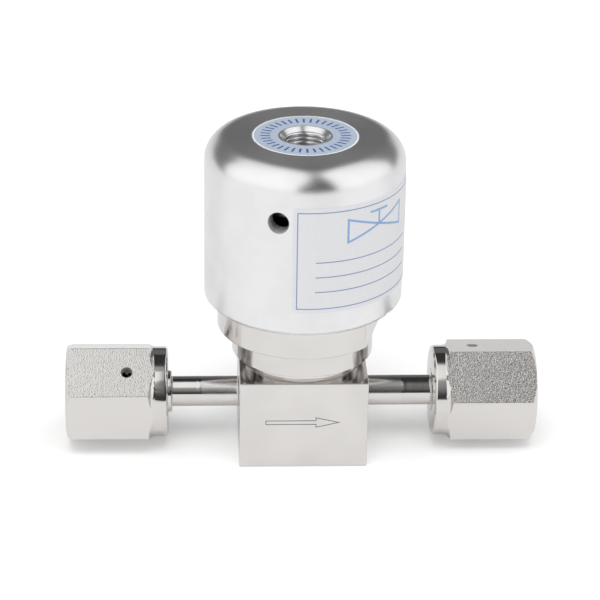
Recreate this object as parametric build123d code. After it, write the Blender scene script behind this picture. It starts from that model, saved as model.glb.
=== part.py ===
from build123d import *
from math import cos, radians, sin
import os

# Pneumatic diaphragm valve, normally closed, with two nuts for face seal joints.
# Millimetres. X runs along the tubes, outlet side positive, and -Y is the front.
# Z is up from the underside of the body block.

# Main sizes, read from the photograph at the scale of a 6.35 mm tube
BLOCK_SIDE = 26.5
BLOCK_TOP = 19.3
BLOCK_EDGE = 0.3
TUBE_Z = 11.0
TUBE_OUTER = 6.35 / 2
TUBE_INNER = 4.57 / 2
OVERALL_HALF_LENGTH = 48.9
CAP_RADIUS = 20.4
CAP_BOTTOM = 33.4
CAP_TOP = 68.7

# Fits
GAP = 0.02
RUNNING = 0.05
THREAD_PLAY = 0.05
EDGE = 0.4
OVERCUT = 1.0

# Body neck, seat and chamber
NECK_RADIUS = 11.9
NECK_BORE = 10.5
NECK_TOP = 24.4
NECK_RELIEF = 11.2
NECK_RELIEF_TOP = 20.5
LEDGE_Z = 16.9
CHAMBER_RADIUS = 8.4
CHAMBER_FLOOR = 15.2
SEAT_BOSS_RADIUS = 4.8
SEAT_RADIUS = 3.6
SEAT_HOLE = 2.0
SEAT_TOP = 17.4
SEAT_FLOOR = 15.5
OUTLET_PORT_X = 6.6
OUTLET_PORT_RADIUS = 1.6
STUB_END = 21.5
ROOT_RADIUS = 0.5
BASE_HOLE_RADIUS = 2.1
BASE_HOLE_DEPTH = 6.0
BASE_HOLE_SPACING = 16.0

# Diaphragms
FOIL = 0.12
FOIL_PITCH = FOIL + GAP
FOIL_RADIUS = 10.35
DISH_HEIGHT = SEAT_TOP - LEDGE_Z

# Stroke and moving parts
STROKE = 1.1
FOIL_STACK_TOP = LEDGE_Z + GAP + 3 * FOIL_PITCH
BUTTON_BOTTOM = FOIL_STACK_TOP + DISH_HEIGHT
BUTTON_HEAD = 1.2
BUTTON_RADIUS = 4.4
STEM_RADIUS = 3.0
STEM_TOP = 29.6
ROD_RADIUS = 4.0
PISTON_BOTTOM = 40.1
PISTON_TOP = 46.0
PISTON_BORE = 17.2
PISTON_RADIUS = PISTON_BORE - 0.08
HUB_RADIUS = 6.4
UPPER_ROD_RADIUS = 3.0
UPPER_ROD_TOP = 59.4
AIR_BORE = 1.3
CROSS_HOLE = 0.8
CROSS_HOLE_Z = 38.6
SPRING_RIB_OUTER = 12.0
SPRING_RIB_INNER = 10.2
SPRING_RIB_HEIGHT = 1.4

# Bonnet and its ring nut
BONNET_RIM_INNER = 7.9
BONNET_SHOULDER = 24.9
BONNET_BOSS = 8.9
BONNET_TOP = 30.8
STEM_GUIDE_TOP = 28.2
RING_NUT_RADIUS = 14.65
RING_NUT_BOTTOM = 20.4
RING_NUT_TOP = 27.0
RING_NUT_CHAMFER = 1.4

# Actuator base
BASE_BOTTOM = 27.1
BASE_RADIUS = 17.7
BASE_FLANGE = 18.1
BASE_FLANGE_Z = 34.6
BASE_TOP = 39.3
BASE_FLAT = 15.25
FLAT_BEARING = 75.0
BASE_RECESS_RADIUS = 6.5
BASE_RECESS_FLOOR = 37.4

# Actuator cap
CAP_BEVEL = 1.0
CAP_SHOULDER = 5.0
CHAMBER_CEILING = 62.5
CHAMBER_CORNER = 1.0
BOSS_RADIUS = 6.2
BOSS_BOTTOM = 54.0
PORT_RADIUS = 4.3
PORT_MOUTH = 5.15
PORT_FLOOR = 60.8
VENT_RADIUS = 2.1
VENT_MOUTH = 2.3
VENT_Z = 58.0
VENT_BEARING = -17.2
NOTCH_WIDTH = 2.6
NOTCH_HEIGHT = 1.6
NOTCH_BEARING = 57.5
NOTCH_DEPTH = 6.0

# Labels
LABEL_RADIUS = 10.75
LABEL_HOLE = 5.5
LABEL_RECESS = 0.25
LABEL_SHEET = 0.2
LABEL_PLAY = 0.1
SIDE_LABEL_SHEET = 0.12
SIDE_LABEL_BEARING = 39.0
SIDE_LABEL_ARC = 96.0
SIDE_LABEL_LOW = 38.8
SIDE_LABEL_HIGH = 61.4
SIDE_LABEL_CORNER = 1.0

# Seal rings as wire radius, and their grooves as depth and as low and high edge
SEAL_WIRE = 0.78
PISTON_SEAL_WIRE = 0.87
GROOVE_DEPTH = 2 * (SEAL_WIRE + GAP)
PISTON_GROOVE_DEPTH = 1.8
GUIDE_GROOVE_DEPTH = 0.9
LOWER_ROD_GROOVE = (33.0, 34.7)
BASE_GROOVE = (37.2, 38.85)
PISTON_GROOVE = (41.0, 43.0)
GUIDE_GROOVE = (43.8, 45.2)
UPPER_ROD_GROOVE = (56.2, 57.9)

# Springs as mean radius, wire radius and coils
OUTER_SPRING = (14.0, 1.2, 4)
INNER_SPRING = (8.5, 0.8, 5)

# Nuts and glands
NUT_FLATS = 19.05
NUT_LENGTH = 20.9
NUT_COLLAR_LENGTH = 3.5
NUT_COLLAR_RADIUS = 9.45
NUT_HUB_BORE = 4.43
NUT_END_RADIUS = 8.7
NUT_END_CHAMFER = 1.8
NUT_RELIEF = 7.2
NUT_RELIEF_END = 10.9
THREAD_RADIUS = 6.38
TEST_HOLE_RADIUS = 1.2
TEST_HOLE_FROM_END = 12.4
INLET_NUT_TURN = -51.4
OUTLET_NUT_TURN = -102.2
HUB_START = 27.2
GLAND_HUB_RADIUS = 4.375
GLAND_HEAD_RADIUS = 6.2
GLAND_FACE = 36.0
BEAD_RADIUS = 4.1
BEAD_WIRE = 0.35

NUT_REAR = OVERALL_HALF_LENGTH - NUT_LENGTH
HEX_CORNER = NUT_FLATS / 3 ** 0.5


def revolved(outline):
    """Solid of revolution about Z from a closed outline of (radius, height)."""
    return revolve(make_face(Plane.XZ * outline), Axis.Z)


def turned(*points):
    """Solid of revolution about Z from (radius, height) corners."""
    return revolved(Polyline(*points, close=True))


def ring(outer, inner, low, high):
    """Plain ring about Z."""
    return turned((inner, low), (outer, low), (outer, high), (inner, high))


def rod(radius, low, high):
    """Plain round bar along Z."""
    return Pos(0, 0, low) * Cylinder(radius, high - low, align=(Align.CENTER, Align.CENTER, Align.MIN))


def bearing_frame(bearing, height):
    """Frame on the axis at a height, whose Z points outward at a bearing from the front."""
    outward = (sin(radians(bearing)), -cos(radians(bearing)), 0)
    return Plane(origin=(0, 0, height), x_dir=(0, 0, 1), z_dir=outward)


def radial_hole(radius, bearing, height, start, end):
    """Drill that runs from one radius to another at a bearing from the front."""
    return bearing_frame(bearing, height) * rod(radius, start, end)


def along_tube(side):
    """Place a piece made along Z on the tube axis, its Z pointing out of the valve."""
    return Pos(0, 0, TUBE_Z) * Rot(0, 90 * side, 0)


def tube_stub(side):
    """Body stub with its root radius where it leaves the block."""
    face = BLOCK_SIDE / 2
    start = face - OVERCUT
    root = TUBE_OUTER + ROOT_RADIUS
    profile = Polyline((TUBE_INNER, start), (root, start), (root, face))
    profile += RadiusArc((root, face), (TUBE_OUTER, face + ROOT_RADIUS), ROOT_RADIUS)
    profile += Polyline(
        (TUBE_OUTER, face + ROOT_RADIUS), (TUBE_OUTER, STUB_END), (TUBE_INNER, STUB_END),
        (TUBE_INNER, start),
    )
    return along_tube(side) * revolved(profile)


def valve_body():
    """Block, threaded neck, tube stubs, seat pocket, passages and underside holes."""
    block = Pos(0, 0, BLOCK_TOP / 2) * Box(BLOCK_SIDE, BLOCK_SIDE, BLOCK_TOP)
    block = fillet(block.edges(), BLOCK_EDGE)
    body = block + rod(NECK_RADIUS, BLOCK_TOP - OVERCUT, NECK_TOP) + tube_stub(1) + tube_stub(-1)
    body -= ring(NECK_RADIUS + OVERCUT, NECK_RELIEF, BLOCK_TOP, NECK_RELIEF_TOP)
    body -= rod(NECK_BORE, LEDGE_Z, NECK_TOP + OVERCUT)
    body -= ring(CHAMBER_RADIUS, SEAT_BOSS_RADIUS, CHAMBER_FLOOR, LEDGE_Z + OVERCUT)
    body -= rod(SEAT_RADIUS + GAP, SEAT_FLOOR, LEDGE_Z + OVERCUT)
    body -= rod(SEAT_HOLE, TUBE_Z, LEDGE_Z)
    body -= Pos(OUTLET_PORT_X, 0, 0) * rod(OUTLET_PORT_RADIUS, TUBE_Z, CHAMBER_FLOOR + OVERCUT)
    body -= along_tube(-1) * rod(TUBE_INNER, -SEAT_HOLE, STUB_END + OVERCUT)
    body -= along_tube(1) * rod(TUBE_INNER, OUTLET_PORT_X - OUTLET_PORT_RADIUS, STUB_END + OVERCUT)
    for x in (-BASE_HOLE_SPACING / 2, BASE_HOLE_SPACING / 2):
        body -= Pos(x, 0, 0) * rod(BASE_HOLE_RADIUS, -OVERCUT, BASE_HOLE_DEPTH)
    return body


def seat_insert():
    """Plastic seat with a narrow raised sealing land."""
    return turned(
        (SEAT_HOLE, SEAT_FLOOR + GAP), (SEAT_RADIUS, SEAT_FLOOR + GAP), (SEAT_RADIUS, SEAT_TOP - EDGE),
        (SEAT_RADIUS - EDGE, SEAT_TOP), (SEAT_HOLE + EDGE, SEAT_TOP), (SEAT_HOLE, SEAT_TOP - EDGE),
    )


def diaphragm(layer):
    """Thin metal foil, flat where it is clamped and domed over the seat."""
    low = LEDGE_Z + GAP + layer * FOIL_PITCH
    crown = low + DISH_HEIGHT
    fold = CHAMBER_RADIUS - EDGE
    return turned(
        (0, crown), (SEAT_BOSS_RADIUS, crown), (fold, low), (FOIL_RADIUS, low),
        (FOIL_RADIUS, low + FOIL), (fold, low + FOIL), (SEAT_BOSS_RADIUS, crown + FOIL), (0, crown + FOIL),
    )


def stem_button():
    """Button that presses the diaphragms, with its stem."""
    head_top = BUTTON_BOTTOM + BUTTON_HEAD
    return turned(
        (0, BUTTON_BOTTOM), (BUTTON_RADIUS - EDGE, BUTTON_BOTTOM), (BUTTON_RADIUS, BUTTON_BOTTOM + EDGE),
        (BUTTON_RADIUS, head_top), (STEM_RADIUS, head_top), (STEM_RADIUS, STEM_TOP - EDGE),
        (STEM_RADIUS - EDGE, STEM_TOP), (0, STEM_TOP),
    )


def bonnet():
    """Disc that clamps the diaphragms, with the boss that carries the actuator."""
    bottom = FOIL_STACK_TOP
    ceiling = BUTTON_BOTTOM + BUTTON_HEAD + STROKE + 3 * GAP
    counterbore = ROD_RADIUS + EDGE
    outer = NECK_BORE - 2 * RUNNING
    return turned(
        (BONNET_RIM_INNER, bottom), (outer, bottom), (outer, BONNET_SHOULDER),
        (BONNET_BOSS, BONNET_SHOULDER), (BONNET_BOSS, BONNET_TOP - EDGE), (BONNET_BOSS - EDGE, BONNET_TOP),
        (counterbore, BONNET_TOP), (counterbore, STEM_GUIDE_TOP), (STEM_RADIUS + RUNNING, STEM_GUIDE_TOP),
        (STEM_RADIUS + RUNNING, ceiling), (BONNET_RIM_INNER, ceiling),
    )


def bonnet_nut():
    """Round ring nut that pulls the bonnet down on the body neck."""
    thread = NECK_RADIUS + THREAD_PLAY
    flange_z = BONNET_SHOULDER + GAP
    foot = RING_NUT_RADIUS - RING_NUT_CHAMFER
    inner = BONNET_BOSS + EDGE
    return turned(
        (thread, RING_NUT_BOTTOM), (foot, RING_NUT_BOTTOM),
        (RING_NUT_RADIUS, RING_NUT_BOTTOM + RING_NUT_CHAMFER), (RING_NUT_RADIUS, RING_NUT_TOP - EDGE),
        (RING_NUT_RADIUS - EDGE, RING_NUT_TOP), (inner, RING_NUT_TOP), (inner, flange_z), (thread, flange_z),
    )


def actuator_base():
    """Lower actuator housing with one flat on its side, threaded into the cap."""
    thread = BONNET_BOSS + THREAD_PLAY
    base = turned(
        (thread, BASE_BOTTOM), (BASE_RADIUS - EDGE, BASE_BOTTOM), (BASE_RADIUS, BASE_BOTTOM + EDGE),
        (BASE_RADIUS, BASE_FLANGE_Z), (BASE_FLANGE, BASE_FLANGE_Z), (BASE_FLANGE, BASE_TOP),
        (BASE_RECESS_RADIUS, BASE_TOP), (BASE_RECESS_RADIUS, BASE_RECESS_FLOOR),
        (ROD_RADIUS + RUNNING, BASE_RECESS_FLOOR), (ROD_RADIUS + RUNNING, BONNET_TOP + RUNNING),
        (thread, BONNET_TOP + RUNNING),
    )
    base -= ring(ROD_RADIUS + GROOVE_DEPTH, ROD_RADIUS, *LOWER_ROD_GROOVE)
    base -= ring(BASE_FLANGE + OVERCUT, BASE_FLANGE + GAP - GROOVE_DEPTH, *BASE_GROOVE)
    flat_height = BASE_FLANGE_Z - BASE_BOTTOM
    frame = bearing_frame(FLAT_BEARING, BASE_BOTTOM + flat_height / 2)
    return base - frame * Pos(0, 0, 2 * BASE_FLAT) * Box(flat_height, 4 * BASE_RADIUS, 2 * BASE_FLAT)


def piston():
    """Disc with seal grooves, spring seats, rods and the air passage."""
    hub_top = BOSS_BOTTOM - STROKE - GAP
    rod_bottom = STEM_TOP + GAP
    rib_top = PISTON_TOP + SPRING_RIB_HEIGHT
    body = turned(
        (0, rod_bottom), (ROD_RADIUS - EDGE, rod_bottom), (ROD_RADIUS, rod_bottom + EDGE),
        (ROD_RADIUS, PISTON_BOTTOM), (PISTON_RADIUS - EDGE, PISTON_BOTTOM),
        (PISTON_RADIUS, PISTON_BOTTOM + EDGE), (PISTON_RADIUS, PISTON_TOP - EDGE),
        (PISTON_RADIUS - EDGE, PISTON_TOP), (SPRING_RIB_OUTER, PISTON_TOP), (SPRING_RIB_OUTER, rib_top),
        (SPRING_RIB_INNER, rib_top), (SPRING_RIB_INNER, PISTON_TOP), (HUB_RADIUS, PISTON_TOP),
        (HUB_RADIUS, hub_top - EDGE), (HUB_RADIUS - EDGE, hub_top), (UPPER_ROD_RADIUS, hub_top),
        (UPPER_ROD_RADIUS, UPPER_ROD_TOP - EDGE), (UPPER_ROD_RADIUS - EDGE, UPPER_ROD_TOP),
        (0, UPPER_ROD_TOP),
    )
    body -= ring(PISTON_BORE + OVERCUT, PISTON_BORE - PISTON_GROOVE_DEPTH, *PISTON_GROOVE)
    body -= ring(PISTON_BORE + OVERCUT, PISTON_BORE - GUIDE_GROOVE_DEPTH, *GUIDE_GROOVE)
    body -= rod(AIR_BORE, CROSS_HOLE_Z - CROSS_HOLE, UPPER_ROD_TOP + OVERCUT)
    body -= Pos(0, 0, CROSS_HOLE_Z) * Rot(0, 90, 0) * Cylinder(CROSS_HOLE, 4 * ROD_RADIUS)
    return body


def seal_ring(outer, wire, groove):
    """Round seal ring of a given outer radius, halfway up its groove."""
    return Pos(0, 0, sum(groove) / 2) * Torus(outer - wire, wire)


def piston_guide_ring():
    """Plastic band that keeps the piston off the bore."""
    low, high = GUIDE_GROOVE
    inner = PISTON_BORE - GUIDE_GROOVE_DEPTH + GAP
    return ring(PISTON_BORE - RUNNING, inner, low + RUNNING, high - RUNNING)


def spring(mean, wire, coils):
    """Coil spring between the piston and the cap, with ground ends."""
    low = PISTON_TOP + GAP
    high = CHAMBER_CEILING - GAP
    pitch = (high - low) / coils
    path = Pos(0, 0, low) * Helix(pitch, high - low, mean)
    coil = sweep(Plane(path @ 0, z_dir=path % 0) * Circle(wire), path)
    return coil & ring(mean + 2 * wire, mean - 2 * wire, low, high)


def actuator_cap():
    """Turned cap with the air port, guide boss, spring chamber, vent and spanner notches."""
    thread = BASE_FLANGE + THREAD_PLAY
    seat_z = BASE_TOP + GAP
    shell = turned(
        (0, CAP_BOTTOM), (CAP_RADIUS - CAP_BEVEL, CAP_BOTTOM), (CAP_RADIUS, CAP_BOTTOM + CAP_BEVEL),
        (CAP_RADIUS, CAP_TOP), (0, CAP_TOP),
    )
    rim = shell.edges().group_by(Axis.Z)[-1]
    shell = fillet(rim, CAP_SHOULDER)
    shell -= rod(thread, CAP_BOTTOM - OVERCUT, seat_z)
    shell -= turned(
        (0, seat_z), (PISTON_BORE, seat_z), (PISTON_BORE, CHAMBER_CEILING - CHAMBER_CORNER),
        (PISTON_BORE - CHAMBER_CORNER, CHAMBER_CEILING), (BOSS_RADIUS, CHAMBER_CEILING),
        (BOSS_RADIUS, BOSS_BOTTOM), (0, BOSS_BOTTOM),
    )
    shell -= rod(UPPER_ROD_RADIUS + RUNNING, BOSS_BOTTOM - OVERCUT, PORT_FLOOR + OVERCUT)
    shell -= ring(UPPER_ROD_RADIUS + GROOVE_DEPTH, UPPER_ROD_RADIUS, *UPPER_ROD_GROOVE)
    shell -= turned(
        (0, PORT_FLOOR), (PORT_RADIUS, PORT_FLOOR), (PORT_RADIUS, CAP_TOP - PORT_MOUTH + PORT_RADIUS),
        (PORT_MOUTH, CAP_TOP), (PORT_MOUTH, CAP_TOP + OVERCUT), (0, CAP_TOP + OVERCUT),
    )
    recess_low = CAP_TOP - LABEL_RECESS
    shell -= ring(LABEL_RADIUS + LABEL_PLAY, LABEL_HOLE - LABEL_PLAY, recess_low, CAP_TOP + OVERCUT)
    shell -= radial_hole(VENT_RADIUS, VENT_BEARING, VENT_Z, PISTON_BORE - 2, CAP_RADIUS + 2)
    mouth = Cone(VENT_MOUTH - OVERCUT, VENT_MOUTH, OVERCUT, align=(Align.CENTER, Align.CENTER, Align.MAX))
    shell -= bearing_frame(VENT_BEARING, VENT_Z) * Pos(0, 0, CAP_RADIUS) * mouth
    for bearing in (NOTCH_BEARING, NOTCH_BEARING + 180):
        frame = bearing_frame(bearing, CAP_BOTTOM)
        shell -= frame * Pos(0, 0, CAP_RADIUS) * Box(2 * NOTCH_HEIGHT, NOTCH_WIDTH, NOTCH_DEPTH)
    return shell


def port_label():
    """Round plate let into the top of the cap."""
    low = CAP_TOP - LABEL_RECESS + GAP
    return ring(LABEL_RADIUS, LABEL_HOLE, low, low + LABEL_SHEET)


def side_label():
    """Film wrapped on the side of the cap."""
    inner = CAP_RADIUS + GAP / 2
    film = ring(inner + SIDE_LABEL_SHEET, inner, SIDE_LABEL_LOW, SIDE_LABEL_HIGH)
    height = SIDE_LABEL_HIGH - SIDE_LABEL_LOW
    width = 2 * CAP_RADIUS * sin(radians(SIDE_LABEL_ARC / 2))
    frame = bearing_frame(SIDE_LABEL_BEARING, (SIDE_LABEL_LOW + SIDE_LABEL_HIGH) / 2)
    return film & (frame * extrude(RectangleRounded(height, width, SIDE_LABEL_CORNER), 2 * CAP_RADIUS))


def gland(side):
    """Tube end with a shoulder that the nut pulls and a raised sealing bead."""
    shoulder = NUT_REAR + NUT_COLLAR_LENGTH + RUNNING
    piece = turned(
        (TUBE_INNER, STUB_END + GAP), (TUBE_OUTER, STUB_END + GAP), (TUBE_OUTER, HUB_START),
        (GLAND_HUB_RADIUS - EDGE, HUB_START), (GLAND_HUB_RADIUS, HUB_START + EDGE),
        (GLAND_HUB_RADIUS, shoulder), (GLAND_HEAD_RADIUS, shoulder),
        (GLAND_HEAD_RADIUS, GLAND_FACE - EDGE), (GLAND_HEAD_RADIUS - EDGE, GLAND_FACE),
        (TUBE_INNER, GLAND_FACE),
    )
    piece += Pos(0, 0, GLAND_FACE) * Torus(BEAD_RADIUS, BEAD_WIRE)
    return along_tube(side) * piece


def gland_nut(side, turn):
    """Hexagon nut with a round collar, a threaded mouth and two test holes."""
    end = OVERALL_HALF_LENGTH
    hex_start = NUT_REAR + NUT_COLLAR_LENGTH
    hexagon = extrude(RegularPolygon(NUT_FLATS / 2, 6, major_radius=False), end - hex_start)
    neck = HEX_CORNER - NUT_COLLAR_RADIUS
    envelope = RadiusArc((NUT_COLLAR_RADIUS, hex_start), (HEX_CORNER, hex_start + neck), neck)
    envelope += Polyline(
        (HEX_CORNER, hex_start + neck), (HEX_CORNER, end - NUT_END_CHAMFER), (NUT_END_RADIUS, end),
        (0, end), (0, hex_start), (NUT_COLLAR_RADIUS, hex_start),
    )
    nut = (Pos(0, 0, hex_start) * hexagon) & revolved(envelope)
    nut += turned(
        (0, NUT_REAR), (NUT_COLLAR_RADIUS - EDGE, NUT_REAR), (NUT_COLLAR_RADIUS, NUT_REAR + EDGE),
        (NUT_COLLAR_RADIUS, hex_start + OVERCUT), (0, hex_start + OVERCUT),
    )
    thread_start = end - NUT_RELIEF_END
    mouth = NUT_RELIEF - THREAD_RADIUS
    nut -= turned(
        (0, NUT_REAR - OVERCUT), (NUT_HUB_BORE, NUT_REAR - OVERCUT), (NUT_HUB_BORE, hex_start),
        (NUT_RELIEF, hex_start), (NUT_RELIEF, thread_start - mouth), (THREAD_RADIUS, thread_start),
        (THREAD_RADIUS, end - mouth), (NUT_RELIEF, end), (NUT_RELIEF, end + OVERCUT), (0, end + OVERCUT),
    )
    across = Rot(90, 0, 0) * Cylinder(TEST_HOLE_RADIUS, 2 * NUT_FLATS)
    nut -= Pos(0, 0, end - TEST_HOLE_FROM_END) * across
    return Pos(0, 0, TUBE_Z) * Rot(turn, 0, 0) * Rot(0, 90 * side, 0) * nut


PARTS = {
    "valve_body": valve_body(),
    "seat_insert": seat_insert(),
    "diaphragm_lower": diaphragm(0),
    "diaphragm_middle": diaphragm(1),
    "diaphragm_upper": diaphragm(2),
    "stem_button": stem_button(),
    "bonnet": bonnet(),
    "bonnet_nut": bonnet_nut(),
    "actuator_base": actuator_base(),
    "base_rod_seal": seal_ring(ROD_RADIUS + GROOVE_DEPTH - GAP, SEAL_WIRE, LOWER_ROD_GROOVE),
    "base_cap_seal": seal_ring(BASE_FLANGE, SEAL_WIRE, BASE_GROOVE),
    "piston": piston(),
    "piston_seal": seal_ring(PISTON_BORE - GAP, PISTON_SEAL_WIRE, PISTON_GROOVE),
    "piston_guide_ring": piston_guide_ring(),
    "upper_rod_seal": seal_ring(UPPER_ROD_RADIUS + GROOVE_DEPTH - GAP, SEAL_WIRE, UPPER_ROD_GROOVE),
    "outer_spring": spring(*OUTER_SPRING),
    "inner_spring": spring(*INNER_SPRING),
    "actuator_cap": actuator_cap(),
    "port_label": port_label(),
    "side_label": side_label(),
    "inlet_gland": gland(-1),
    "outlet_gland": gland(1),
    "inlet_nut": gland_nut(-1, INLET_NUT_TURN),
    "outlet_nut": gland_nut(1, OUTLET_NUT_TURN),
}

os.makedirs("parts", exist_ok=True)
for name, shape in PARTS.items():
    export_step(shape, f"parts/{name}.step")
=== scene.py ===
"""Air-operated diaphragm valve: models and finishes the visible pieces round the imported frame."""

from collections import namedtuple
from math import atan2, cos, pi, radians, sin, sqrt

import bmesh
import bpy
from bpy.props import FloatProperty, FloatVectorProperty, IntProperty, PointerProperty
from mathutils import Matrix, Vector


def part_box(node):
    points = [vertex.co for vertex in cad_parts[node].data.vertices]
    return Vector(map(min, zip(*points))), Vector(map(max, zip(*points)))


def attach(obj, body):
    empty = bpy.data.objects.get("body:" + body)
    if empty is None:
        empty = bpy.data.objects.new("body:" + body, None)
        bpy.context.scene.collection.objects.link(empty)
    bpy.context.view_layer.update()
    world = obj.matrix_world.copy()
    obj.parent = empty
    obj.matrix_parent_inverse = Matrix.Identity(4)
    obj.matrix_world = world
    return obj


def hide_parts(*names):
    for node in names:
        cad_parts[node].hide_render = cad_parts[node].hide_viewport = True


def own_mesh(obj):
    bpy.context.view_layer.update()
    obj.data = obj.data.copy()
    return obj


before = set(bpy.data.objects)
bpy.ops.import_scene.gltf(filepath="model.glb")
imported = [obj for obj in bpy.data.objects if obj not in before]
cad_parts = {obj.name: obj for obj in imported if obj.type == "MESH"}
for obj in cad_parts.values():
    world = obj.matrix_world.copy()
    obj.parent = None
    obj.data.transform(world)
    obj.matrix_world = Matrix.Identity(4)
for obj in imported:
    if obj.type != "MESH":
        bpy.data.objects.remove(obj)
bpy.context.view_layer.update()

bl_info = {
    "name": "Diaphragm Valve",
    "version": (1, 0, 0),
    "blender": (4, 5, 0),
    "location": "3D View > Sidebar > Valve",
    "description": "Models the visible pieces of an air-operated diaphragm valve",
    "category": "Add Mesh",
}

MM = 0.001
BODY_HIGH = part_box("valve_body")[1]
CAP_LOW, CAP_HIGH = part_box("actuator_cap")
BASE_LOW, BASE_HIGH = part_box("actuator_base")
RING_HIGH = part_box("bonnet_nut")[1]
GLAND_LOW, GLAND_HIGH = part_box("outlet_gland")
NUT_LOW, NUT_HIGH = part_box("outlet_nut")
BLOCK_HALF = BODY_HIGH.y
TUBE_Z = (GLAND_LOW.z + GLAND_HIGH.z) / 2
SHEET = 0.1 * MM
LABEL_RADIUS = CAP_HIGH.x + 0.01 * MM
PRINT_DEPTH = 0.02
MERGE = 0.0001 * MM
SAME_PLACE = 0.001 * MM

TurningAxis = namedtuple("TurningAxis", "origin along across")
Thread = namedtuple("Thread", "radius low high pitch depth")
UPRIGHT = TurningAxis(Vector((0, 0, 0)), Vector((0, 0, 1)), Vector((1, 0, 0)))


def tube_axis(side):
    """Axis of the tubes, pointing out of the valve on one side."""
    return TurningAxis(Vector((0, 0, TUBE_Z)), Vector((side, 0, 0)), Vector((0, 0, 1)))


def bearing_axis(bearing, height):
    """Level axis from the middle of the valve, at an angle from the front towards the outlet."""
    outward = Vector((sin(bearing), -cos(bearing), 0))
    return TurningAxis(Vector((0, 0, height)), outward, Vector((0, 0, 1)))


def length(name, text, millimetres):
    return FloatProperty(name=name, description=text, default=millimetres * MM, precision=5, unit="LENGTH")


def turn(name, text, degrees):
    return FloatProperty(name=name, description=text, default=radians(degrees), unit="ROTATION")


def colour(name, text, *rgb):
    return FloatVectorProperty(name=name, description=text, default=rgb, size=3, min=0, max=1, subtype="COLOR")


class ValveSizes(bpy.types.PropertyGroup):
    """Sizes of the visible pieces."""
    block_edge: length("Block edge", "Rounding of the body block's edges", 0.2)
    block_top: length("Block top", "Height of the body block", 19.3)
    neck_radius: length("Neck radius", "Radius of the neck that carries the ring nut", 11.9)
    tube_radius: length("Tube radius", "Outside radius of the tubes", 3.175)
    tube_bore: length("Tube bore", "Inside radius of the tubes", 2.285)
    tube_root: length("Tube root", "Root radius of the tubes at the block", 0.5)
    stub_end: length("Stub end", "Distance of the tube welds from the middle", 21.5)
    neck_root: length("Neck root", "Rounding where the neck meets the block", 0.9)
    ring_low: length("Ring nut underside", "Height of the ring nut's underside", 21.6)
    base_flat: length("Base flat", "Distance of the actuator base's flat from its axis", 15.25)
    base_radius: length("Base radius", "Radius of the actuator base below the cap", 17.7)
    base_flange: length("Base flange", "Height where the cap's skirt covers the actuator base", 34.6)
    flat_bearing: turn("Flat bearing", "Direction that the flat of the actuator base faces, from the front", 75)
    cap_shoulder: length("Cap shoulder", "Rounding of the cap's upper edge", 5.0)
    cap_bevel: length("Cap bevel", "Bevel of the cap's lower edge", 1.0)
    port_radius: length("Port radius", "Radius of the air port at its thread crests", 4.3)
    port_mouth: length("Port mouth", "Radius of the air port's chamfer", 5.15)
    port_floor: length("Port floor", "Height of the air port's floor", 60.8)
    port_pitch: length("Port pitch", "Pitch of the air port's thread", 0.907)
    vent_radius: length("Vent radius", "Radius of the vent hole at its thread crests", 2.1)
    vent_mouth: length("Vent mouth", "Radius of the vent hole's chamfer", 2.3)
    vent_height: length("Vent height", "Height of the vent hole", 58.0)
    vent_bearing: turn("Vent bearing", "Direction of the vent hole from the front", -17.2)
    notch_width: length("Notch width", "Width of the spanner notches", 2.6)
    notch_height: length("Notch height", "Height of the spanner notches", 1.6)
    notch_bearing: turn("Notch bearing", "Direction of the visible spanner notch from the front", 57.5)
    outer_coil: length("Outer coil", "Mean radius of the outer spring", 14.0)
    outer_wire: length("Outer wire", "Radius of the outer spring's wire", 1.2)
    inner_coil: length("Inner coil", "Mean radius of the inner spring", 8.5)
    inner_wire: length("Inner wire", "Radius of the inner spring's wire", 0.8)
    piston_lift: length("Piston lift", "How far the piston rises", 1.1)
    nut_flats: length("Nut flats", "Distance across the nuts' flats", 19.05)
    nut_collar: length("Nut collar", "Radius of the nuts' round collar", 9.45)
    nut_wall: length("Nut wall", "Thickness of the nuts' inner end", 3.5)
    nut_cove: length("Nut cove", "Rounding from the nuts' collar to their corners", 1.3)
    nut_thread: length("Nut thread", "Radius of the nuts' thread crests", 6.38)
    nut_pitch: length("Nut pitch", "Pitch of the nuts' thread", 1.411)
    inlet_corner: turn("Inlet nut corner", "Direction of the inlet nut's corner, from up towards the front", 8.6)
    outlet_corner: turn("Outlet nut corner", "Direction of the outlet nut's corner, from up towards the front", 17.8)
    inlet_collar: length("Inlet collar", "Length of the inlet nut's collar from the gland's shoulder", 2.7)
    outlet_collar: length("Outlet collar", "Length of the outlet nut's collar from the gland's shoulder", 1.8)
    inlet_mouth: length("Inlet mouth", "How far the inlet nut's open end stands out", 0.3)
    outlet_back: length("Outlet back", "How far the outlet nut's collar reaches towards the block", 0.6)
    inlet_hole: length("Inlet hole", "Distance of the inlet nut's test hole from its open end", 12.4)
    outlet_hole: length("Outlet hole", "Distance of the outlet nut's test hole from its open end", 12.9)
    hole_radius: length("Hole radius", "Radius of the nuts' test holes", 1.2)
    label_bearing: turn("Label bearing", "Direction of the middle of the side label from the front", 39)
    label_arc: turn("Label arc", "Angle that the side label covers", 96)
    label_low: length("Label low edge", "Height of the side label's lower edge", 38.8)
    label_high: length("Label high edge", "Height of the side label's upper edge", 61.4)
    label_corner: length("Label corner", "Rounding of the side label's corners", 1.0)
    label_margin: length("Label margin", "Distance of the printed border from the label's edge", 0.95)
    label_line: length("Label line", "Width of the lines on the side label", 0.2)
    mark_line: length("Mark line", "Width of the strokes of the valve symbol", 0.45)
    index_marks: IntProperty(name="Index marks", description="Marks round the air port", default=36, min=4)
    segments: IntProperty(name="Segments", description="Steps round the large turned pieces", default=192, min=24)


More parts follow.
